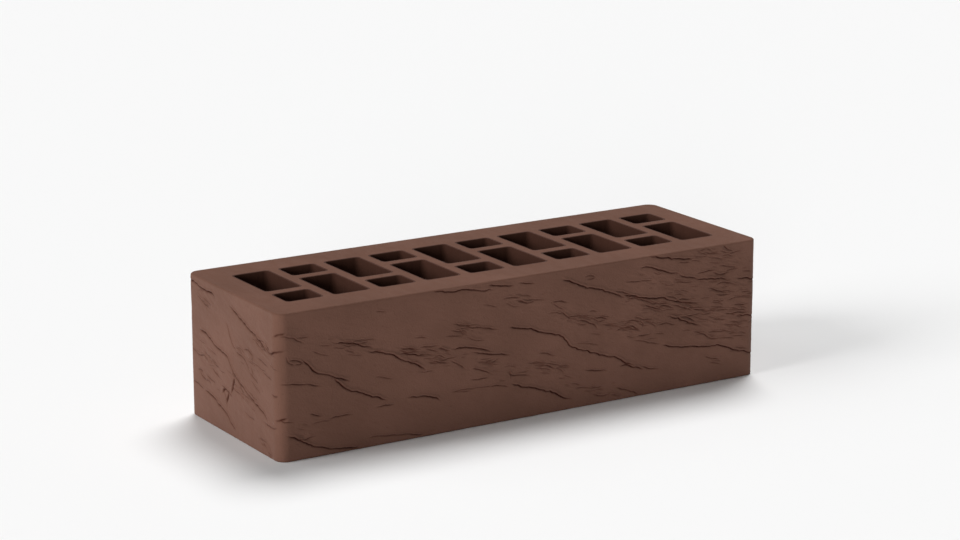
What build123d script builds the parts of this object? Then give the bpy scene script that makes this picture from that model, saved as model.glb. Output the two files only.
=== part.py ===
from build123d import *

import os

# Perforated clay facing brick: one extruded, wire-cut and fired block.
# The block lies on its bed. The origin is the middle of the bottom bed, +X runs along
# the length, +Y from the exposed long face to the back, and +Z up. Lengths are in millimetres.

# Overall size of the block
BRICK_LENGTH = 250.0
BRICK_WIDTH = 85.0
BRICK_HEIGHT = 65.0

# Rounding of the block: its four upright corners, and the arris round each bed
CORNER_RADIUS = 5.0
ARRIS_RADIUS = 0.8

# Perforations: columns along the length, each with one long and one short hole across the width.
# The long hole lies to the back in the first column, to the front in the next, and so on.
COLUMN_COUNT = 10
END_WALL = 13.9
SIDE_WALL = 17.0
COLUMN_WEB = 5.8
ROW_WEB = 5.8
SHORT_HOLE_LENGTH = 13.7
HOLE_CORNER_RADIUS = 2.0

# How far each cut runs past the bed that it leaves through
CUT_OVERRUN = 5.0

# What the walls and webs leave for the holes
FIELD_LENGTH = BRICK_LENGTH - 2 * END_WALL
FIELD_WIDTH = BRICK_WIDTH - 2 * SIDE_WALL
HOLE_WIDTH = (FIELD_LENGTH - (COLUMN_COUNT - 1) * COLUMN_WEB) / COLUMN_COUNT
LONG_HOLE_LENGTH = FIELD_WIDTH - ROW_WEB - SHORT_HOLE_LENGTH
COLUMN_PITCH = HOLE_WIDTH + COLUMN_WEB


def rounded_block():
    """The solid block, with its upright corners and both arrises rounded."""
    outline = RectangleRounded(BRICK_LENGTH, BRICK_WIDTH, CORNER_RADIUS)
    block = extrude(outline, BRICK_HEIGHT)
    arrises = block.faces().filter_by(Axis.Z).edges()
    return fillet(arrises, ARRIS_RADIUS)


def hole_core(column, length, side):
    """The clay that the die leaves out for one hole. side is +1 at the back and -1 at the front."""
    center_x = (column - (COLUMN_COUNT - 1) / 2) * COLUMN_PITCH
    center_y = side * (FIELD_WIDTH - length) / 2
    section = RectangleRounded(HOLE_WIDTH, length, HOLE_CORNER_RADIUS)
    core = extrude(section, BRICK_HEIGHT + 2 * CUT_OVERRUN)
    return Pos(center_x, center_y, -CUT_OVERRUN) * core


def hole_cores():
    """Every hole's core, column by column, with the long hole changing sides each time."""
    cores = []
    for column in range(COLUMN_COUNT):
        long_side = 1 if column % 2 == 0 else -1
        cores.append(hole_core(column, LONG_HOLE_LENGTH, long_side))
        cores.append(hole_core(column, SHORT_HOLE_LENGTH, -long_side))
    return cores


brick = rounded_block() - hole_cores()

os.makedirs("parts", exist_ok=True)
export_step(brick, "parts/facing_brick.step")
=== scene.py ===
"""Shapes the finish of a perforated clay facing brick round its packed solid, with a plain stage."""

import math

import bmesh
import bpy
import numpy as np
from bpy.props import FloatProperty, FloatVectorProperty, IntProperty, PointerProperty
from mathutils import Euler, Matrix, Vector


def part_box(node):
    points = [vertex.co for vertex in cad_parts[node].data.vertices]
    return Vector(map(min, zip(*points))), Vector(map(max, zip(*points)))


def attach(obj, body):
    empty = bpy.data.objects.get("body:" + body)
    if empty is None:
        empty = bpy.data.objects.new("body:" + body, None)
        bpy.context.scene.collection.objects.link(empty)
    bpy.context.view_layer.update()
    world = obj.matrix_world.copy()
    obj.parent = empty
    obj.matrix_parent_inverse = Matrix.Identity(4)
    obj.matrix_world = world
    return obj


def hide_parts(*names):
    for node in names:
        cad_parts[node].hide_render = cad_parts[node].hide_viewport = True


bl_info = {
    "name": "Facing Brick",
    "version": (1, 0, 0),
    "blender": (4, 5, 0),
    "location": "3D View > Sidebar > Brick",
    "description": "Shapes a perforated clay facing brick with bark-creased faces, and its stage",
    "category": "Mesh",
}

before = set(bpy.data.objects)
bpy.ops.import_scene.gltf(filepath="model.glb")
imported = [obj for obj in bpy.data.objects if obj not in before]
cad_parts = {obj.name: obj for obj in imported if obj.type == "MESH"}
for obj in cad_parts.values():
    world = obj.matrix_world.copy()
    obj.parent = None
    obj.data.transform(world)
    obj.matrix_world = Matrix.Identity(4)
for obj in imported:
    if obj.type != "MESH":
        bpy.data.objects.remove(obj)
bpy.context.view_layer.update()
NODE = "facing_brick"
SOLID_LOW, SOLID_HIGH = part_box(NODE)
LENGTH, WIDTH, HEIGHT = SOLID_HIGH - SOLID_LOW
MM = 0.001

# Material slots of the beds and of the walls of the holes. The skin has the first slot.
BED, CORE = 1, 2

# How near the two sides of the seam lie to be welded, and a rim to a bed to belong to it
RIM_REACH = 0.01 * MM

# Rows of the skin round an arris, sides of a quarter turn of a hole, and angles of the rows over its mouth
ARRIS_ROWS = 6
HOLE_QUARTER = 5
MOUTH_ANGLES = (0, 30, 60, 90)

# Half the side of the floor, in metres
FLOOR_HALF = 40.0

# Lengths over which the texture fades: round the corners of the back, at the upright corners, which keep a
# share of it, and at the beds
BACK_FADE = 10 * MM
CORNER_CALM = 7 * MM
CORNER_SHARE = 0.2
EDGE_CALM = 1.2 * MM

# How far the flow of the clay drops for its run to the right
FLOW = 0.28

# Seeds of the creases and of the hairlines
CREASE_SEED, HAIRLINE_SEED = 11, 21

# Line of a crease: the step between its places, and how few there are at least
CREASE_STEP = 0.9 * MM
CREASE_PLACES = 6

# Section of a crease: the shoulder and width of the faintest one and the width where one is weakest, as
# shares of the full ones, and the reach and the place and spread of the lip, in shoulders
FAINT_SHOULDER = 0.3
FAINT_WIDTH = 0.55
WEAK_WIDTH = 0.6
CREASE_REACH = 3
LIP_PLACE, LIP_SPREAD = 0.6, 0.5

# Strength along a crease: its range, the steps between its knots, the knots on top of those, and its fade
# at each end, which takes at most one of END_PARTS parts of the crease
STRENGTHS = (0.6, 1.0)
KNOT_STEPS, MORE_KNOTS = 4, 3
END_FADE = 5 * MM
END_PARTS = 3

# Hairlines for each square millimetre of half run by half rise of a patch, and their scatter over it
HAIRLINE_DENSITY = 0.30
HAIRLINE_SCATTER = 0.6

# Turn of the hairlines, which is flatter than the flow, and how far they stray from it
HAIRLINE_TURN = -math.atan(0.6 * FLOW)
TURN_SPREAD = 0.12

# Half the length of the shortest hairline in millimetres, and what the longest adds to it
SHORT_HALF = 0.8
MORE_HALF = 4.0

# Bow of a hairline as a share of half its length, the depth of the shortest, and how uneven the depths are
BOW_SPREAD = 0.15
SHORT_DEPTH = 0.35
DEPTH_RANGE = (0.8, 1.2)

# Layers of noise: their grain along the sheet and up it, in millimetres, their weight and their seed
SWELLS = ((34, 12, 1.0, 1), (12, 5, 0.5, 2))
RIPPLES = ((4.2, 1.1, 1.0, 3), (1.6, 0.7, 0.6, 4))
DRAG_LINES = ((1.3, 60, 1.0, 5),)

# How much higher the ripples stand in the middle of a patch of hairlines
PATCH_RIPPLE = 3.5

# How strongly the blotches and the specks tint the clay, and the tint of the specks
BLOTCH_SHARE, SPECK_SHARE = 0.6, 0.35
SPECK_TINT = (0.6, 0.6, 0.6, 1)

# Height of the lumps against that of the sand, what they add to the roughness, and the depth of the grain
LUMP_HEIGHT = 1.4
LUMP_ROUGHNESS = 0.12
GRAIN_DEPTH = 0.12 * MM

# Sockets of a Mix node that mixes colours
MIX_SHARE, MIX_FIRST, MIX_SECOND, MIX_RESULT = 0, 6, 7, 2

# The four upright faces in the order in which the sheet of relief wraps round them.
# Each has its outward direction, the direction in which it runs, and its run.
FACES = {
    "left": ((-1, 0), (0, -1), WIDTH),
    "front": ((0, -1), (1, 0), LENGTH),
    "right": ((1, 0), (0, 1), WIDTH),
    "back": ((0, 1), (-1, 0), LENGTH),
}
GIRTH = sum(run for _, _, run in FACES.values())

# Creases of each face, by how deep they are torn. A route runs from point to point in millimetres:
# along the face from its middle, to the right as seen from outside, and up from the bottom bed.
CREASES = {
    ("front", "deep"): (
        ((-112.5, 43), (-110.5, 41), (-109, 39), (-105, 36.7), (-100, 35), (-97.5, 33.8), (-92, 31.5)),
        ((-97.5, 32.5), (-94, 28.8), (-90, 26.5), (-85, 24.8), (-80, 22.5), (-74, 20.3)),
        ((-96, 48.7), (-89, 47.7), (-85, 46), (-81, 44.5)),
        ((-80, 42.5), (-75, 41.3), (-70, 39.5), (-66, 36.5), (-60, 34.5), (-55, 31.3)),
        ((-64, 39), (-60, 38), (-55, 37)),
        ((-38, 37.3), (-33, 37), (-28, 36), (-22, 34.3)),
        ((-20, 63), (-15, 62.4), (-10, 61.6)),
        ((-120, 11), (-117, 10), (-114, 8), (-110, 5.8), (-106, 4.5), (-102, 3), (-96, 1.8), (-88, 1)),
        ((-61, 19), (-55, 18.7), (-50, 17.3), (-47, 16)),
        ((-8, 16), (-5, 15), (0, 14), (5, 12), (8, 10.8), (12, 9.8), (15, 7.7), (18, 5.8), (21, 5)),
        ((-9, 42.5), (-5, 41.5), (0, 40.5), (5, 38.5), (10, 37), (14, 36), (17, 34.7), (20, 31.5),
         (22, 29.3), (26, 27.3), (30, 26), (35, 24), (40, 22), (45, 20.5), (50, 18), (54, 16)),
        ((50, 15.8), (56, 14.3), (60, 13)),
        ((18.5, 60), (22, 58.7), (25, 57), (30, 55), (35, 54), (38, 53.3), (42, 51.5), (46, 49.7),
         (49, 48.5)),
        ((51.5, 48.5), (56, 47.5), (61, 46), (65, 45), (70, 44.7), (73, 44), (77, 42.3), (81, 41.3),
         (86, 40.3), (90, 39.3)),
        ((62, 65), (68, 64.3), (72, 63), (78, 62), (82, 61.3), (87, 61)),
        ((61, 60), (65, 59.8), (69, 57.7), (73, 56.3), (79, 55)),
        ((82, 53.5), (86, 52), (90, 51)),
        ((92, 50.3), (96, 49.8), (100, 49.7), (106, 48.7)),
        ((115, 48), (119, 47.3), (122, 46.3)),
        ((115, 30), (119, 29.3), (125, 29)),
        ((76, 35), (80, 33.7), (83, 32), (88, 30.3), (91, 29)),
        ((-28, 33.8), (-22, 32.7), (-18, 31.8), (-12, 30.5)),
        ((-49, 64.9), (-45, 64), (-41, 63), (-37, 63.3), (-30, 62.6), (-25, 61.5), (-21, 61.2)),
        ((74, 21.8), (78, 20.5), (84, 19.7), (90, 18.7), (97, 17.7), (103, 17.8), (107, 16.3),
         (111, 14.5), (116, 12.8), (123, 11)),
    ),
    ("front", "plain"): (
        ((-124, 55.3), (-119, 54.5), (-116, 53), (-113, 51.5)),
        ((-124, 34.3), (-119, 34), (-112, 33), (-105, 31.3)),
        ((-65, 41.7), (-61, 41), (-57, 40)),
        ((-52, 39), (-48, 37.5)),
        ((-45, 38.5), (-42.5, 37)),
        ((-37.5, 48), (-33, 47), (-30, 45.5), (-25, 45), (-21, 43.7), (-17, 43)),
        ((-40, 32), (-36, 29.5), (-34, 28)),
        ((-29, 27), (-25, 25.5), (-20.5, 23.5)),
        ((-5, 62), (2, 61)),
        ((-100, 16.2), (-95, 16.5), (-91, 16.4)),
        ((-77, 17.3), (-70, 17.2)),
        ((-20, 17.7), (-15, 17), (-12, 16)),
        ((-11, 22), (-9, 20.5), (-5, 20), (-1, 19.5)),
        ((-81, 4.5), (-75, 4), (-65, 3), (-55, 1.3)),
        ((61, 13.8), (65, 12), (69, 11.3)),
        ((52, 47.7), (60, 45.3), (64, 44)),
        ((26, 41), (30, 39.5), (34, 37.5), (35.5, 35.7)),
        ((17, 45.5), (19, 43.8), (21, 42.3)),
        ((30, 17), (36, 15.7), (41, 15)),
        ((47, 6), (52, 4), (57, 2), (60, 0.7)),
        ((98, 45.3), (103, 43.3), (107, 42.3)),
        ((78, 40), (82, 38.8), (86, 37.5)),
        ((90, 36.3), (95, 35.3)),
        ((108, 32), (112, 30.8)),
        ((5, 23.5), (10, 22), (13, 20.3)),
        ((56, 27), (60, 26), (64, 24.5), (70, 23.2)),
        ((46.5, 51.3), (50, 50.3), (54, 48.6)),
        ((113, 35.5), (115, 35.1), (117, 34.9)),
        ((90, 26), (95, 24), (99.5, 20.8), (104, 20.7)),
        ((52, 36.5), (56, 36), (59, 35.5)),
        ((-109, 19.4), (-107.5, 18.6), (-106, 18.2)),
        ((-125, 18.6), (-122, 18), (-119, 17.5)),
        ((-121, 45.2), (-120.3, 43.2), (-118, 42.6)),
        ((-118.5, 44.4), (-116, 44.2), (-114, 43)),
        ((-45.5, 38.6), (-44, 38), (-42, 37.2)),
        ((105.5, 64.3), (107.5, 62.5), (110, 61.3)),
    ),
    ("front", "faint"): (
        ((-116, 54), (-114, 53.6), (-110, 53.4)),
        ((-104, 49), (-100, 48)),
        ((-36, 45), (-33, 43)),
        ((-77, 59.8), (-73, 59)),
        ((-24, 55.3), (-20, 54.2), (-17, 53)),
        ((-4, 56.5), (0, 55.7)),
        ((-109, 15.3), (-105, 15.6), (-100, 15.6)),
        ((-48.8, 31.7), (-46, 33), (-42, 33.6), (-37, 33.4)),
        ((-78, 31), (-74, 30), (-70, 28.7)),
        ((-58, 45.5), (-53, 44.5)),
        ((-40, 18), (-36, 17.6), (-30, 17)),
        ((-2, 54.2), (3, 53.6), (8, 52.6)),
        ((12, 50.5), (15, 48.5), (18, 46.7)),
        ((38, 37), (43, 36.3), (49, 34)),
        ((100, 9.7), (104, 8.5)),
        ((95, 63), (97, 61.8), (104, 61)),
        ((9, 23.5), (13, 22.3), (17, 21.2)),
        ((104, 21), (109, 20.4), (112, 19.5)),
        ((63, 41), (68, 39), (72, 37.5)),
        ((103, 55.5), (108, 54.5), (114, 53)),
        ((112, 40), (117, 38.6), (123, 37.4)),
        ((106, 27.5), (112, 26), (118, 23.5)),
        ((24, 30.5), (31, 29.2), (37, 27.7)),
        ((-116.5, 42.5), (-114.5, 42), (-113, 43)),
        ((-36.3, 45.5), (-35.4, 44), (-33.5, 43.2)),
        ((-35, 45.2), (-33.6, 45), (-32.8, 44)),
        ((117, 41.2), (118.5, 41), (120, 40.7)),
        ((58, 35), (60, 33.5), (63, 33)),
        ((59.5, 35.6), (61, 34), (60.6, 32.8)),
        ((62, 34.8), (66, 33), (68, 31.5)),
        ((68, 28.4), (70, 28.2), (72, 27.6)),
        ((32, 43.8), (34, 44.3), (35.5, 43.4)),
        ((64.7, 44.2), (66.5, 43.2), (68.5, 43)),
        ((81, 60), (83, 59.5), (86, 59.4)),
        ((88, 59.8), (90, 59.6), (92, 59)),
        ((90, 64.5), (92, 62.8), (96, 61.5)),
        ((109, 60.5), (113, 61), (116, 60.7)),
        ((117, 51), (119, 50.8), (121.5, 50.4)),
        ((30, 60.4), (32.4, 60.6), (34.4, 59.4)),
        ((31, 59), (32.8, 58.6), (34, 59)),
        ((78, 45.2), (80.5, 45), (83, 44.2)),
        ((81, 46.6), (83.5, 46.2), (86, 45.3)),
        ((107, 52.2), (110, 52.8), (114, 52.6)),
        ((113, 14.9), (116, 14.5), (119, 13.6)),
        ((1.3, 25), (5, 24.8), (8.8, 24)),
        ((14, 20.6), (16.6, 19.4), (18, 17.8)),
        ((23, 11.8), (24.6, 11.4), (26.4, 10.9)),
        ((-10.4, 22.4), (-9.8, 21.4), (-9.9, 20.5)),
        ((-40, 18.2), (-33, 18.3), (-25.5, 18), (-19, 17.4)),
    ),
    ("left", "deep"): (
        ((1, 58.5), (5, 57), (10, 55), (15, 53.3), (20, 52.5), (24, 51), (28, 48.8), (31, 47.5)),
        ((-29, 41.5), (-26, 41.5), (-21, 39.8), (-17, 38), (-12, 37), (-8, 36.5), (-4, 35), (-1, 32.5),
         (1, 30), (5, 27.5), (8, 26), (11, 25.3), (15, 23.5), (20, 21.5), (25, 20), (29, 18.8),
         (31, 17.5)),
        ((-25, 14.3), (-20, 13.4), (-17, 12.8), (-14, 11.5), (-10, 10), (-6, 8.7), (-3, 6.5), (0, 4.8)),
        ((-41, 62.3), (-37, 62), (-33, 61.7), (-28, 61), (-20, 60.5), (-17, 60.3)),
    ),
    ("left", "plain"): (
        ((32, 48.5), (35, 46.7), (37, 47), (40, 48.2), (45, 49)),
        ((30, 15), (34, 14.3), (38, 14.3), (40, 14.8)),
        ((5, 39.5), (8, 39.3), (11, 38.5), (14, 37), (15.5, 35)),
        ((-9, 21), (-6, 20.4), (-1.5, 18.8)),
        ((-8, 18.6), (-6.6, 16.5), (-6, 13.5)),
        ((1.5, 26.5), (0.5, 23.5), (-0.5, 21)),
        ((28, 5), (31, 3.6), (34, 2)),
        ((40, 55.3), (45, 56.5)),
        ((-30.9, 22), (-30, 20.6), (-28.6, 20.2), (-27, 19.8)),
        ((-9.5, 18.8), (-8.2, 20), (-6.5, 20.4)),
        ((-4.3, 18.6), (-5, 16.8), (-5.7, 14.8)),
        ((38, 28.9), (39, 28.5), (39.8, 28.7)),
        ((40.5, 18.4), (42.5, 18.8), (45, 19.2)),
    ),
    ("left", "faint"): (
        ((-26, 57), (-23, 55.8), (-19, 55)),
        ((-5, 51), (-2, 46), (1, 42), (4, 40.5)),
        ((11, 42.5), (15, 43.2), (19, 41.8), (20, 39)),
        ((17, 33.5), (20, 32), (24, 30.7)),
        ((12, 14.8), (16, 13.6), (20, 13.5)),
        ((-25, 22.5), (-21, 21), (-16, 20.5)),
        ((-41, 43.5), (-38, 43)),
        ((-41, 31.5), (-37, 31), (-33, 30)),
        ((-41, 16.5), (-35, 16.2), (-28, 15)),
        ((-20, 27), (-15, 25), (-10, 24)),
        ((24, 42), (29, 41), (33, 40.6)),
        ((-32.5, 22.8), (-30.6, 23.3), (-29.2, 22.6)),
        ((-25.6, 19.3), (-23.5, 19.8), (-21.5, 19.5)),
        ((17.5, 36.8), (18, 35.4), (19.3, 34)),
        ((7.8, 25.2), (9, 23.9), (10.2, 23.2)),
        ((29, 36.8), (32, 36.2), (36, 35.6)),
        ((32, 50.2), (33, 49), (34.4, 48.6)),
    ),
    ("right", "deep"): (
        ((-46, 46.5), (-41, 45.5), (-35, 44), (-29, 43.2), (-22, 40.7), (-15, 39.5)),
        ((-45, 11), (-39, 9.5), (-31, 8.8), (-24, 6.4), (-18, 5.2)),
        ((-20, 27.5), (-15, 26.2), (-9, 23), (-2, 21.4), (6, 20.5), (12, 17.6), (18, 16), (25, 15.4)),
        ((-3, 57), (4, 55.6), (11, 52.8), (18, 51.5), (24, 48.8)),
    ),
    ("right", "plain"): (
        ((-45, 29), (-40, 28.4), (-34, 26.6), (-29, 26)),
        ((14, 37.5), (20, 35.8), (26, 35.2), (33, 32.4)),
        ((-36, 60.5), (-30, 59.4), (-23, 58.6)),
        ((5, 8.8), (12, 7.4), (19, 6.8), (25, 4.6)),
        ((-10, 46.5), (-4, 44.6), (2, 43.8)),
    ),
    ("right", "faint"): (
        ((28, 60.5), (34, 59.2), (39, 58.6)),
        ((-36, 19), (-30, 17.6), (-25, 17)),
        ((28, 24.5), (33, 23), (38, 22.5)),
        ((-28, 52.5), (-22, 51), (-17, 50.4)),
        ((0, 33), (6, 31.5), (11, 31)),
    ),
}

# Patches of short hairlines along the flow of the clay: middle along and up, half their run and half
# their rise, in millimetres as above.
HAIRLINES = {
    "front": (
        (52, 33, 14, 5), (64, 40, 14, 6), (98, 33, 24, 9), (106, 45, 18, 6), (12, 21, 10, 5),
        (36, 40, 9, 4), (104, 59, 18, 4), (-55, 36, 16, 4), (-22, 27, 14, 4), (-4, 55, 10, 3),
        (20, 44, 8, 5), (103, 9, 5, 2), (40, 5, 18, 3), (-112, 12, 6, 3), (70, 52, 16, 4),
        (-90, 46, 14, 4), (-32, 45, 9, 4), (112, 24, 12, 5),
    ),
    "left": (
        (15, 39.5, 9, 5), (27, 49, 10, 4), (-24, 55.5, 8, 3), (30, 4, 7, 3), (8, 24, 12, 4),
        (-22, 30, 10, 5),
    ),
    "right": ((-20, 30, 14, 6), (18, 44, 14, 6), (-30, 12, 12, 5), (20, 14, 14, 5)),
}

# How many times as wide the creases of each face are as those of the front
SOFTNESS = {"front": 1.0, "left": 1.7, "right": 1.4}


class BrickBlock(bpy.types.PropertyGroup):
    """Sizes of the block and of its holes, as in the solid"""

    corner_radius: FloatProperty(
        name="Corner radius", description="Rounding of the four upright corners", default=0.005,
        unit="LENGTH")
    arris_radius: FloatProperty(
        name="Arris radius", description="Rounding of the edges round both beds", default=0.0008,
        unit="LENGTH")
    columns: IntProperty(
        name="Columns", description="Columns of holes along the brick", default=10)
    end_wall: FloatProperty(
        name="End wall", description="Clay between an end and the nearest hole", default=0.0139,
        unit="LENGTH")
    side_wall: FloatProperty(
        name="Side wall", description="Clay between a long face and the holes", default=0.017,
        unit="LENGTH")
    column_web: FloatProperty(
        name="Column web", description="Clay between two columns of holes", default=0.0058, unit="LENGTH")
    row_web: FloatProperty(
        name="Row web", description="Clay between the two holes of a column", default=0.0058,
        unit="LENGTH")
    short_hole: FloatProperty(
        name="Short hole", description="Length of a column's short hole", default=0.0137, unit="LENGTH")
    hole_corner: FloatProperty(
        name="Hole corner", description="Rounding of a hole's upright corners", default=0.002,
        unit="LENGTH")
    hole_mouth: FloatProperty(
        name="Hole mouth", description="Rounding where a hole meets a bed", default=0.0003, unit="LENGTH")
    bed_strip: FloatProperty(
        name="Bed strip", description="Flat strip of bed beside each rounded edge", default=0.0005,
        unit="LENGTH")


class BarkRelief(bpy.types.PropertyGroup):
    """Bark texture of the faces"""

    fine_step: FloatProperty(
        name="Fine step", description="Mesh step on the creased faces", default=0.00018, unit="LENGTH")
    plain_step: FloatProperty(
        name="Plain step", description="Mesh step along the plain back", default=0.0006, unit="LENGTH")
    triangles: IntProperty(
        name="Triangles", default=175000,
        description="How many triangles of the skin are kept, most of them at the creases")
    deep: FloatProperty(
        name="Deep crease", description="Depth of the deepest creases", default=0.0008, unit="LENGTH")
    plain: FloatProperty(
        name="Plain crease", description="Depth of the ordinary creases", default=0.00055, unit="LENGTH")
    faint: FloatProperty(
        name="Faint crease", description="Depth of the faint creases", default=0.00038, unit="LENGTH")
    hairline: FloatProperty(
        name="Hairline", description="Depth of the hairlines", default=0.00052, unit="LENGTH")
    half_width: FloatProperty(
        name="Half width", description="Half the width of a deep crease", default=0.00032, unit="LENGTH")
    run_out: FloatProperty(
        name="Run out", description="How far a crease runs on past its ends as it fades", default=0.003,
        unit="LENGTH")
    wander: FloatProperty(
        name="Wander", description="How far a crease strays from its route", default=0.0003, unit="LENGTH")
    lip: FloatProperty(
        name="Lip", description="Height of the clay pushed up above a deep crease", default=0.00042,
        unit="LENGTH")
    sag: FloatProperty(
        name="Sag", description="Depth of the clay drawn in below a deep crease", default=0.00034,
        unit="LENGTH")
    shoulder: FloatProperty(
        name="Shoulder", description="Width of the lip above a crease and of the sag below it",
        default=0.0012, unit="LENGTH")
    swell: FloatProperty(
        name="Swell", description="Height of the broad swells of the faces", default=0.00022,
        unit="LENGTH")
    ripple: FloatProperty(
        name="Ripple", description="Height of the fine ripples along the flow", default=0.00004,
        unit="LENGTH")
    drag: FloatProperty(
        name="Drag lines", description="Height of the upright drag lines on the back", default=0.00005,
        unit="LENGTH")


class ClayFinish(bpy.types.PropertyGroup):
    """Colours of the fired clay, with painted shade in its creases and holes and painted light on its
    faces
    """

    # Partly painted light: the faces' clay is made paler against the beds' clay, in place of light from
    # the side lamps
    clay: FloatVectorProperty(
        name="Clay", description="Colour of the fired clay of the faces, made paler as painted light", default=(0.142, 0.0690, 0.0485), size=3,
        subtype="COLOR")
    bed: FloatVectorProperty(
        name="Bed", description="Colour of the wire-cut beds", default=(0.118, 0.0553, 0.0372), size=3,
        subtype="COLOR")
    # Painted shade: the walls of the holes are the same clay, made darker to paint the shade inside the
    # holes
    core: FloatVectorProperty(
        name="Core", description="Colour of the walls of the holes, darkened as painted shade", default=(0.050, 0.0200, 0.0128),
        size=3, subtype="COLOR")
    pale: FloatVectorProperty(
        name="Pale tint", description="Tint of the paler clouds", default=(1.10, 1.10, 1.11), size=3,
        subtype="COLOR", max=2.0)
    dark: FloatVectorProperty(
        name="Dark tint", description="Tint of the darker clouds", default=(0.92, 0.91, 0.90), size=3,
        subtype="COLOR")
    # Painted shade: the crease tint darkens the clay deep in each crease, where shade falls
    crease: FloatVectorProperty(
        name="Painted crease shade", description="Painted shade of the clay deep in a crease", default=(0.28, 0.11, 0.06),
        size=3, subtype="COLOR")
    sheen: FloatVectorProperty(
        name="Sheen", description="Tint of the dusty sheen of the creased skin", default=(1.0, 0.84, 0.77),
        size=3, subtype="COLOR")
    roughness: FloatProperty(
        name="Roughness", description="Roughness of the clay", default=0.78, subtype="FACTOR")


class StudioStage(bpy.types.PropertyGroup):
    """Camera, lamps and floor"""

    azimuth: FloatProperty(
        name="Azimuth", description="Camera's turn round the brick", default=math.radians(-31.84),
        subtype="ANGLE")
    pitch: FloatProperty(
        name="Pitch", description="How far the camera looks down", default=math.radians(14.55),
        subtype="ANGLE")
    distance: FloatProperty(
        name="Distance", description="From the camera to the brick", default=1.2598, unit="LENGTH")
    lens: FloatProperty(
        name="Lens", description="Focal length on the 36 mm sensor", default=103.55, unit="CAMERA")
    aim: FloatVectorProperty(
        name="Aim", default=(0.0004, 0.0561), size=2, unit="LENGTH",
        description="How far to the right of the middle of the bottom bed and above it the camera aims")
    floor: FloatVectorProperty(
        name="Floor", description="Colour of the floor", default=(0.88, 0.88, 0.88), size=3,
        subtype="COLOR")
    backdrop: FloatVectorProperty(
        name="Backdrop", description="Colour seen past the floor", default=(0.93, 0.93, 0.93), size=3,
        subtype="COLOR")
    sky: FloatProperty(
        name="Sky", description="Strength of the even light from all round", default=0.02)
    high: FloatProperty(
        name="High lamp", description="Strength of the lamp high at the back right", default=2.52)
    left: FloatProperty(
        name="Left lamp", description="Strength of the lamp at the left", default=1.98)
    front: FloatProperty(
        name="Front lamp", description="Strength of the low lamp at the front left", default=0.98)
    back: FloatProperty(
        name="Back lamp", description="Strength of the lamp at the back left", default=0.27)


def smooth(share):
    """Ease a share from 0 to 1 at both ends."""
    share = np.clip(share, 0, 1)
    return share * share * (3 - 2 * share)


def rising(low, share):
    """A factor that rises from low to 1 as a share rises from 0 to 1."""
    return low + (1 - low) * share


def sheet_noise(along, up, size_along, size_up, seed):
    """Smooth noise from -1 to 1 over places on the sheet, with a grain of the given sizes."""
    column, row = along / size_along, up / size_up
    first_column, first_row = np.floor(column).astype(int), np.floor(row).astype(int)
    across, rise = smooth(column - first_column), smooth(row - first_row)
    first_column -= first_column.min()
    first_row -= first_row.min()
    lattice = np.random.default_rng(seed).uniform(-1, 1, (first_row.max() + 2, first_column.max() + 2))
    low, high = (
        lattice[line, first_column] * (1 - across) + lattice[line, first_column + 1] * across
        for line in (first_row, first_row + 1))
    return low * (1 - rise) + high * rise


def layered_noise(along, up, layers):
    """The sum of some layers of noise over places on the sheet."""
    return sum(
        weight * sheet_noise(along, up, size_along * MM, size_up * MM, seed)
        for size_along, size_up, weight, seed in layers)


def face_middles():
    """Where each face's middle lies along the sheet, which starts and ends in the middle of the back."""
    middles = {}
    reached = 0.0
    for name, (_, _, run) in FACES.items():
        middles[name] = reached + run / 2
        reached += run
    return middles


def wandering(route, past, wander, rng):
    """Places about a millimetre apart along a route and past its ends, straying from it a little."""
    first, last = route[1] - route[0], route[-1] - route[-2]
    before = route[0] - first * past / np.hypot(*first)
    after = route[-1] + last * past / np.hypot(*last)
    route = np.vstack((before, route, after))
    reached = np.append(0, np.cumsum(np.hypot(*np.diff(route, axis=0).T)))
    at = np.linspace(0, reached[-1], max(CREASE_PLACES, round(reached[-1] / CREASE_STEP)))
    curve = np.column_stack([np.interp(at, reached, route[:, axis]) for axis in (0, 1)])
    stray = rng.normal(0, wander, curve.shape)
    for values in (curve, stray):
        values[1:-1] = (values[:-2] + 2 * values[1:-1] + values[2:]) / 4
    return curve + stray


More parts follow.
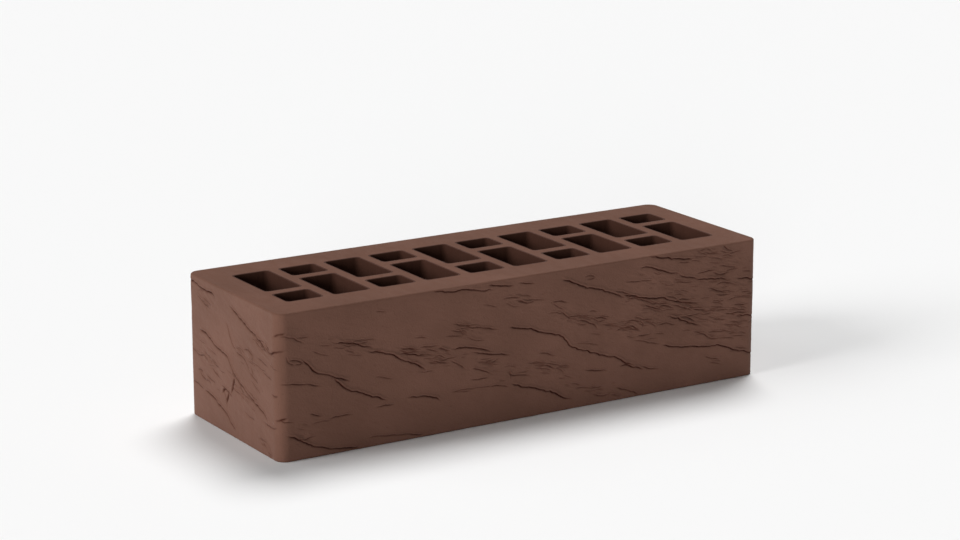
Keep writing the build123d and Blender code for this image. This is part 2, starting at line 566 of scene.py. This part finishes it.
class ClaySheet:
    """The outer skin of the brick, unrolled: columns along the girth, rows from bed to bed."""

    def __init__(self, block, relief):
        self.block = block
        self.relief = relief
        self.along = self.columns_along()
        self.up, self.inset = self.rows_up()
        self.grid_along, self.grid_up = np.meshgrid(self.along, self.up)
        self.height = np.zeros(self.grid_along.shape)
        self.cut = np.zeros(self.grid_along.shape)

    def columns_along(self):
        """Places along the girth, closer together on the creased faces than on the plain back."""
        back = FACES["back"][2]
        textured = GIRTH - back
        reach = BACK_FADE
        fine = round((textured + 2 * reach) / self.relief.fine_step)
        plain = round((back / 2 - reach) / self.relief.plain_step)
        return np.concatenate((
            np.linspace(-back / 2, -reach, plain, endpoint=False),
            np.linspace(-reach, textured + reach, fine, endpoint=False),
            np.linspace(textured + reach, textured + back / 2, plain + 1),
        ))

    def rows_up(self):
        """Heights of the rows, and how far each is drawn in by the rounded arrises and the bed strips."""
        radius = self.block.arris_radius
        turn = np.radians(np.linspace(0, 90, ARRIS_ROWS))
        low = np.append(0.0, radius * (1 - np.cos(turn)))
        drawn = np.append(radius + self.block.bed_strip, radius * (1 - np.sin(turn)))
        wall_rows = round((HEIGHT - 2 * radius) / self.relief.fine_step)
        wall = np.linspace(radius, HEIGHT - radius, wall_rows)[1:-1]
        up = np.concatenate((low, wall, HEIGHT - low[::-1]))
        inset = np.concatenate((drawn, np.zeros(len(wall)), drawn[::-1]))
        return up, inset

    def bark_share(self):
        """How much of the bark texture each column carries: it fades out round the corners of the back."""
        past_corner = np.maximum(-self.along, self.along - (GIRTH - FACES["back"][2]))
        return 1 - smooth(past_corner / BACK_FADE)

    def calm_share(self):
        """How much relief is left near the upright corners, whose edges are nearly straight."""
        corners = np.array((0, WIDTH, WIDTH + LENGTH, 2 * WIDTH + LENGTH))
        from_corner = np.abs(self.along[:, None] - corners).min(axis=1)
        return rising(CORNER_SHARE, smooth(from_corner / CORNER_CALM))

    def window(self, places, reach):
        """The rows and columns within reach of some places."""
        low, high = places.min(axis=0) - reach, places.max(axis=0) + reach
        rows = np.searchsorted(self.up, (low[1], high[1]))
        columns = np.searchsorted(self.along, (low[0], high[0]))
        return slice(*rows), slice(*columns)

    def tear(self, route, depth, softness, rng):
        """Cut a crease along a route, with a raised lip above it and clay drawn in below it.

        Its grade is its depth as a share of the deepest, and its strength changes along it.
        """
        relief = self.relief
        grade = depth / relief.deep
        curve = wandering(route, relief.run_out * grade, relief.wander * grade, rng)
        length = np.hypot(*np.diff(curve, axis=0).T).sum()
        shoulder = relief.shoulder * rising(FAINT_SHOULDER, grade)
        reach = CREASE_REACH * shoulder
        window = self.window(curve, reach)
        along, up = self.grid_along[window], self.grid_up[window]
        nearest = np.full(along.shape, reach)
        place = np.zeros(along.shape)
        above = np.zeros(along.shape)
        last = len(curve) - 1
        for index, (start, end) in enumerate(zip(curve[:-1], curve[1:])):
            run, rise = end - start
            share = ((along - start[0]) * run + (up - start[1]) * rise) / (run * run + rise * rise)
            share = np.clip(share, 0, 1)
            off_along = along - start[0] - share * run
            off_up = up - start[1] - share * rise
            distance = np.hypot(off_along, off_up)
            closer = distance < nearest
            nearest = np.where(closer, distance, nearest)
            place = np.where(closer, (index + share) / last, place)
            above = np.where(closer, off_up > 0, above)
        knots = rng.uniform(*STRENGTHS, last // KNOT_STEPS + MORE_KNOTS)
        strength = np.interp(place * (len(knots) - 1), np.arange(len(knots)), knots)
        to_end = np.minimum(place, 1 - place) * length
        strength *= smooth(to_end / min(length / END_PARTS, END_FADE))
        width = softness * relief.half_width * rising(FAINT_WIDTH, grade) * rising(WEAK_WIDTH, strength)
        cut = depth * strength * np.exp(-(nearest / width) ** 2)
        lip = np.exp(-((nearest / shoulder - LIP_PLACE) / LIP_SPREAD) ** 2) * above
        sag = np.exp(-nearest / shoulder) * (1 - above)
        self.height[window] += grade * strength * (relief.lip * lip - relief.sag * sag)
        self.cut[window] = np.maximum(self.cut[window], cut)

    def creases(self):
        """Tear each crease along its route."""
        rng = np.random.default_rng(CREASE_SEED)
        middles = face_middles()
        for (name, grade), routes in CREASES.items():
            for route in routes:
                places = np.array(route) * MM + (middles[name], 0)
                self.tear(places, getattr(self.relief, grade), SOFTNESS[name], rng)

    def hairlines(self):
        """Tear short hairlines in each patch, roughly along the flow."""
        rng = np.random.default_rng(HAIRLINE_SEED)
        middles = face_middles()
        for name, spots in HAIRLINES.items():
            for along, up, half_run, half_rise in spots:
                for _ in range(round(HAIRLINE_DENSITY * half_run * half_rise)):
                    over, rise = rng.normal(0, HAIRLINE_SCATTER, 2) * (half_run, half_rise)
                    middle = np.array((along + over, up + rise - FLOW * over))
                    turn = rng.normal(HAIRLINE_TURN, TURN_SPREAD)
                    size = rng.uniform(0, 1) ** 2
                    half = (SHORT_HALF + MORE_HALF * size) * np.array((math.cos(turn), math.sin(turn)))
                    bow = rng.normal(0, BOW_SPREAD) * half[::-1]
                    places = np.array((middle - half, middle + bow, middle + half)) * MM
                    depth = rising(SHORT_DEPTH, size) * rng.uniform(*DEPTH_RANGE) * self.relief.hairline
                    self.tear(places + (middles[name], 0), depth, softness=1.0, rng=rng)

    def rippled(self):
        """Where the clay is rippled most: 1 in the middle of a patch of hairlines, and 0 far from them."""
        share = np.zeros(self.height.shape)
        middles = face_middles()
        for name, spots in HAIRLINES.items():
            for spot in spots:
                along, up, half_run, half_rise = np.array(spot) * MM
                over = self.grid_along - middles[name] - along
                rise = self.grid_up - up + FLOW * over
                share = np.maximum(share, np.exp(-(over / half_run) ** 2 - (rise / half_rise) ** 2))
        return share

    def texture(self):
        """Work out the relief of the whole sheet."""
        relief = self.relief
        self.creases()
        self.hairlines()
        slant = self.grid_up + FLOW * self.grid_along
        swell = layered_noise(self.grid_along, slant, SWELLS)
        ripple = layered_noise(self.grid_along, slant, RIPPLES)
        drag = layered_noise(self.grid_along, self.grid_up, DRAG_LINES)
        from_bed = np.minimum(self.up, HEIGHT - self.up)
        share = np.outer(smooth(from_bed / EDGE_CALM), self.bark_share())
        seam = smooth(np.minimum(self.along - self.along[0], self.along[-1] - self.along) / BACK_FADE)
        bark = self.height - self.cut + relief.swell * swell
        bark += relief.ripple * ripple * (1 + PATCH_RIPPLE * self.rippled())
        plain = relief.drag * drag * (1 - self.bark_share()) * seam
        self.height = bark * share * self.calm_share() + plain
        self.cut *= share


def outline(block, along):
    """Places and outward directions round the brick's plan, for places along the sheet."""
    radius = block.corner_radius
    places = np.zeros((len(along), 2))
    outward = np.zeros((len(along), 2))
    middles = face_middles()
    for name, (normal, direction, run) in FACES.items():
        normal, direction = np.array(normal), np.array(direction)
        depth = WIDTH / 2 if normal[1] else LENGTH / 2
        over = (along - middles[name] + GIRTH / 2) % GIRTH - GIRTH / 2
        here = np.abs(over) <= run / 2
        over = over[here]
        straight = np.clip(over, radius - run / 2, run / 2 - radius)
        # Each of the two faces at a corner has half of its quarter turn
        turn = (over - straight) / radius * (math.pi / 4)
        facing = np.outer(np.cos(turn), normal) + np.outer(np.sin(turn), direction)
        places[here] = (depth - radius) * normal + np.outer(straight, direction) + radius * facing
        outward[here] = facing
    return places, outward


def wrapped_skin(block, relief):
    """The sheet wrapped round the brick, as a mesh with its creases as an attribute, open at both beds."""
    sheet = ClaySheet(block, relief)
    sheet.texture()
    rows, columns = sheet.height.shape
    bm = bmesh.new()
    bmesh.ops.create_grid(bm, x_segments=columns - 1, y_segments=rows - 1, size=1.0)
    mesh = bpy.data.meshes.new("brick_skin")
    bm.to_mesh(mesh)
    bm.free()
    points = np.empty(len(mesh.vertices) * 3, np.float32)
    mesh.vertices.foreach_get("co", points)
    points = points.reshape(-1, 3)
    # The grid spans -1 to 1 both ways
    column = np.rint((points[:, 0] + 1) / 2 * (columns - 1)).astype(int)
    row = np.rint((points[:, 1] + 1) / 2 * (rows - 1)).astype(int)
    places, outward = outline(block, sheet.along)
    pushed = sheet.height[row, column] - sheet.inset[row]
    points[:, :2] = places[column] + outward[column] * pushed[:, None]
    points[:, 2] = sheet.up[row]
    mesh.vertices.foreach_set("co", points.ravel())
    # The depth of each crease, which the skin's material uses to paint shade into the creases
    crease = mesh.attributes.new("crease", "FLOAT", "POINT")
    depth = np.clip(sheet.cut[row, column] / relief.plain, 0, 1)
    crease.data.foreach_set("value", depth.astype(np.float32))
    mesh.update()
    return mesh


def thinned(mesh, triangles):
    """The skin with its seam welded, and with few triangles left where it is nearly flat."""
    skin = bpy.data.objects.new("brick_skin", mesh)
    bpy.context.scene.collection.objects.link(skin)
    weld = skin.modifiers.new("Close the seam", "WELD")
    weld.merge_threshold = RIM_REACH
    thin = skin.modifiers.new("Thin the flat parts", "DECIMATE")
    # Each face of the skin counts as two triangles
    thin.ratio = triangles / (2 * len(mesh.polygons))
    graph = bpy.context.evaluated_depsgraph_get()
    result = bpy.data.meshes.new_from_object(skin.evaluated_get(graph))
    bpy.data.objects.remove(skin)
    bpy.data.meshes.remove(mesh)
    return result


def hole_places(block):
    """Middle and size of each hole, column by column, the long one to the back and the front in turn."""
    field_length = LENGTH - 2 * block.end_wall
    field_width = WIDTH - 2 * block.side_wall
    across = (field_length - (block.columns - 1) * block.column_web) / block.columns
    long_hole = field_width - block.row_web - block.short_hole
    places = []
    for column in range(block.columns):
        middle = (column - (block.columns - 1) / 2) * (across + block.column_web)
        side = 1 if column % 2 == 0 else -1
        for length, towards in ((long_hole, side), (block.short_hole, -side)):
            places.append((middle, towards * (field_width - length) / 2, across, length))
    return places


def cut_hole(bm, block, place):
    """Add the walls of one hole, from a strip of the top bed over its rounded mouth to the bottom bed."""
    middle_x, middle_y, across, length = place
    radius = block.hole_corner
    mouth = block.hole_mouth
    ring = bmesh.ops.create_circle(bm, cap_ends=False, segments=4 * HOLE_QUARTER, radius=radius)["verts"]
    half_step = Matrix.Rotation(math.pi / (4 * HOLE_QUARTER), 3, "Z")
    bmesh.ops.rotate(bm, cent=(0, 0, 0), matrix=half_step, verts=ring)
    for vert in ring:
        vert.co.x += math.copysign(across / 2 - radius, vert.co.x)
        vert.co.y += math.copysign(length / 2 - radius, vert.co.y)
    grown = mouth + block.bed_strip
    bmesh.ops.scale(bm, vec=(1 + 2 * grown / across, 1 + 2 * grown / length, 1), verts=ring)
    bmesh.ops.translate(bm, vec=(middle_x, middle_y, HEIGHT), verts=ring)
    edges = list(dict.fromkeys(edge for vert in ring for edge in vert.link_edges))
    turns = [math.radians(angle) for angle in MOUTH_ANGLES]
    rows = [(mouth * (1 - math.sin(turn)), mouth * (1 - math.cos(turn))) for turn in turns]
    rows = [(more, HEIGHT - drop) for more, drop in rows] + [(more, drop) for more, drop in reversed(rows)]
    rows.append((grown, 0.0))
    about = Matrix.Translation((-middle_x, -middle_y, 0))
    level = HEIGHT
    for more, height in rows:
        made = bmesh.ops.extrude_edge_only(bm, edges=edges)["geom"]
        verts = [item for item in made if isinstance(item, bmesh.types.BMVert)]
        edges = [item for item in made if isinstance(item, bmesh.types.BMEdge)]
        for face in (item for item in made if isinstance(item, bmesh.types.BMFace)):
            face.material_index = CORE
        wider = ((across + 2 * more) / (across + 2 * grown), (length + 2 * more) / (length + 2 * grown), 1)
        bmesh.ops.scale(bm, vec=wider, space=about, verts=verts)
        bmesh.ops.translate(bm, vec=(0, 0, height - level), verts=verts)
        grown, level = more, height


def close_bed(bm, level):
    """Fill a bed between the skin's rim and the rims of the holes."""
    rim = [edge for edge in bm.edges if edge.is_boundary and abs(edge.verts[0].co.z - level) < RIM_REACH]
    for edge in rim:
        for vert in edge.verts:
            vert.co.z = level
    filled = bmesh.ops.triangle_fill(bm, edges=rim, use_beauty=True, use_dissolve=False, normal=(0, 0, 1))
    for item in filled["geom"]:
        if isinstance(item, bmesh.types.BMFace):
            item.material_index = BED


def build_brick(block, relief):
    """The whole brick as one closed mesh: creased skin, flat beds and the walls of the holes."""
    skin = thinned(wrapped_skin(block, relief), relief.triangles)
    bm = bmesh.new()
    for place in hole_places(block):
        cut_hole(bm, block, place)
    walls = bpy.data.meshes.new("hole_walls")
    bm.to_mesh(walls)
    bm.clear()
    for mesh in (skin, walls):
        bm.from_mesh(mesh)
        bpy.data.meshes.remove(mesh)
    for level in (0.0, HEIGHT):
        close_bed(bm, level)
    bmesh.ops.recalc_face_normals(bm, faces=bm.faces)
    for face in bm.faces:
        face.smooth = True
    mesh = bpy.data.meshes.new("bark_brick")
    bm.to_mesh(mesh)
    bm.free()
    return mesh


def add_node(tree, kind, inputs=(), **settings):
    """Add a node with its settings. An input is a value, or a socket to link from."""
    node = tree.nodes.new(kind)
    for name, value in settings.items():
        setattr(node, name, value)
    for name, value in dict(inputs).items():
        if isinstance(value, bpy.types.NodeSocket):
            tree.links.new(value, node.inputs[name])
        else:
            node.inputs[name].default_value = value
    return node


def mix_colour(tree, share, first, second, blend="MIX"):
    """Mix two colours and return the result's socket."""
    inputs = {MIX_SHARE: share, MIX_FIRST: first, MIX_SECOND: second}
    node = add_node(tree, "ShaderNodeMix", inputs, data_type="RGBA", blend_type=blend)
    return node.outputs[MIX_RESULT]


def calculate(tree, operation, *values):
    """A Math node's result."""
    return add_node(tree, "ShaderNodeMath", enumerate(values), operation=operation).outputs[0]


def spread_share(tree, value, low, high):
    """A value spread so that low and high become 0 and 1."""
    inputs = {"Value": value, "From Min": low, "From Max": high}
    return add_node(tree, "ShaderNodeMapRange", inputs).outputs[0]


def noise_share(tree, coordinates, scale, detail, low, high):
    """Noise at a scale, spread so that low and high become 0 and 1."""
    noise = add_node(tree, "ShaderNodeTexNoise", {"Vector": coordinates, "Scale": scale, "Detail": detail})
    return spread_share(tree, noise.outputs[0], low, high)


def new_group(name, inputs, outputs):
    """An empty shader node group with named sockets, and its two end nodes."""
    group = bpy.data.node_groups.new(name, "ShaderNodeTree")
    for direction, sockets in (("INPUT", inputs), ("OUTPUT", outputs)):
        for socket, kind in sockets:
            group.interface.new_socket(socket, in_out=direction, socket_type="NodeSocket" + kind)
    return group, group.nodes.new("NodeGroupInput"), group.nodes.new("NodeGroupOutput")


def clouding_group():
    """Fired clay's uneven colour: broad clouds, smaller blotches and fine specks tint the plain clay."""
    group, given, result = new_group(
        "Clay clouding",
        (("Coordinates", "Vector"), ("Clay", "Color"), ("Pale", "Color"), ("Dark", "Color")),
        (("Colour", "Color"),))
    place = given.outputs["Coordinates"]
    clouds = noise_share(group, place, scale=28.0, detail=3.0, low=0.34, high=0.66)
    blotches = noise_share(group, place, scale=170.0, detail=4.0, low=0.50, high=0.76)
    specks = noise_share(group, place, scale=900.0, detail=2.0, low=0.64, high=0.74)
    tint = mix_colour(group, clouds, given.outputs["Dark"], given.outputs["Pale"])
    blotched = calculate(group, "MULTIPLY", blotches, BLOTCH_SHARE)
    tint = mix_colour(group, blotched, tint, given.outputs["Dark"])
    specked = calculate(group, "MULTIPLY", specks, SPECK_SHARE)
    tint = mix_colour(group, specked, tint, SPECK_TINT)
    colour = mix_colour(group, 1.0, given.outputs["Clay"], tint, "MULTIPLY")
    group.links.new(colour, result.inputs["Colour"])
    return group


def grain_group():
    """Fired clay's fine grain: a height for bump, and a roughness that follows it."""
    group, given, result = new_group(
        "Clay grain",
        (("Coordinates", "Vector"), ("Roughness", "Float")),
        (("Height", "Float"), ("Roughness", "Float")))
    place = given.outputs["Coordinates"]
    sand = noise_share(group, place, scale=1300.0, detail=3.0, low=0.25, high=0.75)
    lumps = noise_share(group, place, scale=330.0, detail=3.0, low=0.25, high=0.75)
    height = calculate(group, "MULTIPLY_ADD", lumps, LUMP_HEIGHT, sand)
    roughness = calculate(group, "MULTIPLY_ADD", lumps, LUMP_ROUGHNESS, given.outputs["Roughness"])
    group.links.new(height, result.inputs["Height"])
    group.links.new(roughness, result.inputs["Roughness"])
    return group


def arris_share(tree, place, radius):
    """How far round the arris a place lies: 0 on an upright face, 1 where the rounding meets a bed."""
    up = add_node(tree, "ShaderNodeSeparateXYZ", {0: place}).outputs["Z"]
    from_middle = calculate(tree, "ABSOLUTE", calculate(tree, "SUBTRACT", up, HEIGHT / 2))
    return spread_share(tree, from_middle, HEIGHT / 2 - radius, HEIGHT / 2)


def clay_material(name, groups, finish, clay, stretch, bump, sheen=0.0, arris_radius=0.0):
    """A fired clay surface. A small stretch along an axis draws the grain out into drag lines.

    A surface with sheen has creases, darkened deep inside by painted shade, is dusty outside them, and
    turns into the beds' clay at its arrises.
    """
    clouding, grain = groups
    material = bpy.data.materials.new(name)
    material.use_nodes = True
    tree = material.node_tree
    tree.nodes.clear()
    place = add_node(tree, "ShaderNodeTexCoord").outputs["Object"]
    dragged = add_node(tree, "ShaderNodeMapping", {"Vector": place, "Scale": stretch}).outputs[0]
    colours = add_node(tree, "ShaderNodeGroup", node_tree=clouding)
    tree.links.new(place, colours.inputs["Coordinates"])
    for socket, colour in (("Clay", clay), ("Pale", finish.pale), ("Dark", finish.dark)):
        colours.inputs[socket].default_value = (*colour, 1)
    texture = add_node(tree, "ShaderNodeGroup", node_tree=grain)
    tree.links.new(dragged, texture.inputs["Coordinates"])
    texture.inputs["Roughness"].default_value = finish.roughness
    colour = colours.outputs["Colour"]
    dust = 0.0
    if sheen:
        # Painted shade: the crease tint darkens the clay deep in each crease, and the sheen stays off
        # there
        crease = add_node(tree, "ShaderNodeAttribute", attribute_name="crease").outputs["Fac"]
        colour = mix_colour(tree, crease, colour, (*finish.crease, 1), "MULTIPLY")
        arris = arris_share(tree, place, arris_radius)
        tree.links.new(mix_colour(tree, arris, (*clay, 1), (*finish.bed, 1)), colours.inputs["Clay"])
        clean = calculate(tree, "MAXIMUM", crease, arris)
        dust = calculate(tree, "MULTIPLY", calculate(tree, "SUBTRACT", 1.0, clean), sheen)
    raised = add_node(tree, "ShaderNodeBump", {
        "Height": texture.outputs["Height"], "Strength": bump, "Distance": GRAIN_DEPTH})
    shader = add_node(tree, "ShaderNodeBsdfPrincipled", {
        "Base Color": colour, "Roughness": texture.outputs["Roughness"], "Normal": raised.outputs[0],
        "Specular IOR Level": 0.1, "Sheen Weight": dust, "Sheen Roughness": 0.5,
        "Sheen Tint": (*finish.sheen, 1)})
    end = add_node(tree, "ShaderNodeOutputMaterial")
    tree.links.new(shader.outputs[0], end.inputs["Surface"])
    return material


def clay_materials(finish, arris_radius):
    """The creased skin, the wire-cut beds and the walls of the holes, whose clay is darkened as painted
    shade.
    """
    groups = clouding_group(), grain_group()
    return (
        clay_material("Bark clay", groups, finish, finish.clay, stretch=(1, 1, 1), bump=0.5,
                      sheen=0.12, arris_radius=arris_radius),
        clay_material("Wire-cut clay", groups, finish, finish.bed, stretch=(1, 0.35, 1), bump=0.4),
        # The core clay is painted dark for the shade inside the holes
        clay_material("Shaded core clay", groups, finish, finish.core, stretch=(1, 1, 0.2), bump=0.5),
    )


class FACINGBRICK_OT_shape_brick(bpy.types.Operator):
    """Make the brick over its packed solid: creased skin, beds and holes, with its clay"""

    bl_idname = "facing_brick.shape_brick"
    bl_label = "Shape Brick"

    def execute(self, context):
        scene = context.scene
        mesh = build_brick(scene.brick_block, scene.brick_relief)
        for material in clay_materials(scene.brick_finish, scene.brick_block.arris_radius):
            mesh.materials.append(material)
        brick = bpy.data.objects.new("bark_brick", mesh)
        scene.collection.objects.link(brick)
        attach(brick, "root")
        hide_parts(NODE)
        return {"FINISHED"}


def soft_lamp(name, strength, azimuth, elevation, spread):
    """A lamp far enough off to light the whole floor alike, as wide as its spread in degrees."""
    data = bpy.data.lights.new(name, "SUN")
    data.angle = math.radians(spread)
    data.energy = strength
    lamp = bpy.data.objects.new(name, data)
    lamp.rotation_euler = Euler((0, math.radians(90 - elevation), math.radians(azimuth)))
    lamp.location = lamp.rotation_euler.to_matrix() @ Vector((0, 0, 1))
    bpy.context.scene.collection.objects.link(lamp)


def pale_floor(colour):
    """A wide plain floor at the level of the bottom bed."""
    bm = bmesh.new()
    bmesh.ops.create_grid(bm, x_segments=1, y_segments=1, size=FLOOR_HALF)
    mesh = bpy.data.meshes.new("floor")
    bm.to_mesh(mesh)
    bm.free()
    material = bpy.data.materials.new("Pale floor")
    material.use_nodes = True
    shader = material.node_tree.nodes["Principled BSDF"]
    shader.inputs["Base Color"].default_value = (*colour, 1)
    shader.inputs["Roughness"].default_value = 1.0
    shader.inputs["Specular IOR Level"].default_value = 0.0
    mesh.materials.append(material)
    floor = bpy.data.objects.new("floor", mesh)
    floor.location.z = SOLID_LOW.z
    bpy.context.scene.collection.objects.link(floor)


def even_sky(stage):
    """Even light from all round, seen by the camera and in reflections as the pale backdrop."""
    world = bpy.data.worlds.new("Studio")
    world.use_nodes = True
    tree = world.node_tree
    tree.nodes.clear()
    path = add_node(tree, "ShaderNodeLightPath").outputs
    seen = calculate(tree, "MAXIMUM", path["Is Camera Ray"], path["Is Glossy Ray"])
    seen = calculate(tree, "MAXIMUM", seen, path["Is Transmission Ray"])
    light = add_node(tree, "ShaderNodeBackground", {"Color": (1, 1, 1, 1), "Strength": stage.sky})
    shown = add_node(tree, "ShaderNodeBackground", {"Color": (*stage.backdrop, 1), "Strength": 1.0})
    both = add_node(tree, "ShaderNodeMixShader", {0: seen, 1: light.outputs[0], 2: shown.outputs[0]})
    end = add_node(tree, "ShaderNodeOutputWorld")
    tree.links.new(both.outputs[0], end.inputs["Surface"])
    bpy.context.scene.world = world


def place_camera(stage):
    """A camera without roll or shift, which looks down on the brick from the front left."""
    data = bpy.data.cameras.new("Camera")
    data.lens = stage.lens
    turn = Euler((math.pi / 2 - stage.pitch, 0, stage.azimuth))
    camera = bpy.data.objects.new("Camera", data)
    camera.rotation_euler = turn
    offset = Vector((stage.aim[0], stage.aim[1], stage.distance))
    offset.rotate(turn)
    camera.location = offset
    bpy.context.scene.collection.objects.link(camera)
    bpy.context.scene.camera = camera


class FACINGBRICK_OT_set_stage(bpy.types.Operator):
    """Lay the pale floor, light the brick softly and place the camera"""

    bl_idname = "facing_brick.set_stage"
    bl_label = "Set Stage"

    def execute(self, context):
        stage = context.scene.brick_stage
        context.scene.view_settings.view_transform = "Standard"
        pale_floor(stage.floor)
        even_sky(stage)
        soft_lamp("High lamp", stage.high, azimuth=46, elevation=61, spread=30)
        soft_lamp("Left lamp", stage.left, azimuth=178, elevation=25, spread=30)
        soft_lamp("Front lamp", stage.front, azimuth=232, elevation=7, spread=14)
        soft_lamp("Back lamp", stage.back, azimuth=135, elevation=35, spread=30)
        place_camera(stage)
        return {"FINISHED"}


class FACINGBRICK_PT_panel(bpy.types.Panel):
    """Lists the steps that make the brick, and the sizes and colours they use"""

    bl_label = "Facing Brick"
    bl_space_type = "VIEW_3D"
    bl_region_type = "UI"
    bl_category = "Brick"

    def draw(self, context):
        for operator in OPERATORS:
            self.layout.operator(operator.bl_idname)
        for name, group in SETTINGS.items():
            box = self.layout.box()
            box.label(text=group.__doc__)
            for setting in group.__annotations__:
                box.prop(getattr(context.scene, name), setting)


SETTINGS = {
    "brick_block": BrickBlock,
    "brick_relief": BarkRelief,
    "brick_finish": ClayFinish,
    "brick_stage": StudioStage,
}
OPERATORS = (FACINGBRICK_OT_shape_brick, FACINGBRICK_OT_set_stage)
CLASSES = (*SETTINGS.values(), *OPERATORS, FACINGBRICK_PT_panel)


def register():
    for each in CLASSES:
        bpy.utils.register_class(each)
    for name, group in SETTINGS.items():
        setattr(bpy.types.Scene, name, PointerProperty(type=group))


def unregister():
    for name in SETTINGS:
        delattr(bpy.types.Scene, name)
    for each in reversed(CLASSES):
        bpy.utils.unregister_class(each)


def main():
    """Register the add-on, and make the brick and the stage."""
    register()
    bpy.ops.facing_brick.shape_brick()
    bpy.ops.facing_brick.set_stage()


if __name__ == "__main__":
    main()
